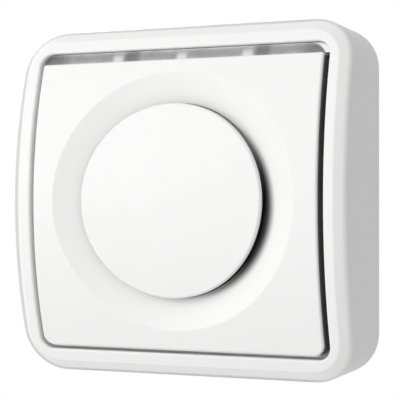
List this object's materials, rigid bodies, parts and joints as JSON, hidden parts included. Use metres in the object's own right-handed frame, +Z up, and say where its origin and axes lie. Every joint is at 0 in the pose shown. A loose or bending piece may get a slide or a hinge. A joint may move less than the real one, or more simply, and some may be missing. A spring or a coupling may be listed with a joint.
{
  "type": "indoor siren",
  "caption": "Wall-mounted indoor siren: square white case with a bulging front, a dished panel with a round disc over the sounder, a light strip above it and a hook-on wall bracket.",
  "frame": {"origin": "centre of the wall bracket's back face, on the wall", "axes": "+X to the right as seen from the front, +Y into the wall, +Z up, the front faces -Y"},
  "size_m": [0.142, 0.0503, 0.14],
  "materials": {
    "case_white": "satin",
    "bracket_white": "fine texture",
    "horn_plastic": "satin",
    "lens_clear": "frosted",
    "reflector_white": "polished",
    "steel_screw": "zinc plated",
    "board_green": "solder mask",
    "chip_black": "moulded",
    "switch_grey": "moulded",
    "shield_tin": "tinned",
    "contact_nickel": "nickel plated",
    "cell_jacket": "printed jacket left plain",
    "capacitor_sleeve": "sleeve",
    "copper_wire": "bare wire",
    "piezo_brass": "plain",
    "lamp_epoxy": "moulded",
    "gasket_rubber": "closed cell foam",
    "spring_steel": "drawn wire",
    "button_grey": "moulded"
  },
  "bodies": {
    "bracket": {"wall_bracket": "bracket_white"},
    "unit": {"aerial_coil": "copper_wire", "battery_cell_1": "cell_jacket", "battery_cell_2": "cell_jacket", "battery_cell_3": "cell_jacket", "battery_cell_4": "cell_jacket", "battery_contacts": "contact_nickel", "battery_cover": "case_white", "battery_cover_screws": "steel_screw", "board_screws": "steel_screw", "boost_coil": "chip_black", "case_screws": "steel_screw", "centre_disc": "case_white", "controller_chip": "chip_black", "disc_screws": "steel_screw", "front_case": "case_white", "front_panel": "case_white", "horn_gasket": "gasket_rubber", "horn_screws": "steel_screw", "main_board": "board_green", "pairing_switch": "switch_grey", "panel_seal": "gasket_rubber", "piezo_disc": "piezo_brass", "radio_shield": "shield_tin", "rear_case": "case_white", "sounder_cover": "horn_plastic", "sounder_cover_screws": "steel_screw", "sounder_horn": "horn_plastic", "storage_capacitor": "capacitor_sleeve", "strobe_board": "board_green", "strobe_led_1": "lamp_epoxy", "strobe_led_2": "lamp_epoxy", "strobe_led_3": "lamp_epoxy", "strobe_lens": "lens_clear", "strobe_reflector": "reflector_white", "strobe_screws": "steel_screw", "tamper_spring": "spring_steel", "tamper_switch": "switch_grey"},
    "plunger": {"tamper_plunger": "button_grey"},
    "button": {"pairing_button": "button_grey"}
  },
  "joints": [
    {"name": "unit_lift", "type": "slide", "parent": "bracket", "child": "unit", "axis": [0, 0, 1], "range_m": [0, 0.007]},
    {"name": "tamper_travel", "type": "slide", "parent": "unit", "child": "plunger", "axis": [0, 1, 0], "range_m": [0, 0.002]},
    {"name": "pairing_press", "type": "slide", "parent": "unit", "child": "button", "axis": [0, -1, 0], "range_m": [0, 0.0005], "stiffness_N_per_m": 400}
  ],
  "couplings": [
    {"joint": "tamper_travel", "follows": "unit_lift", "ratio": 0.2857}
  ]
}
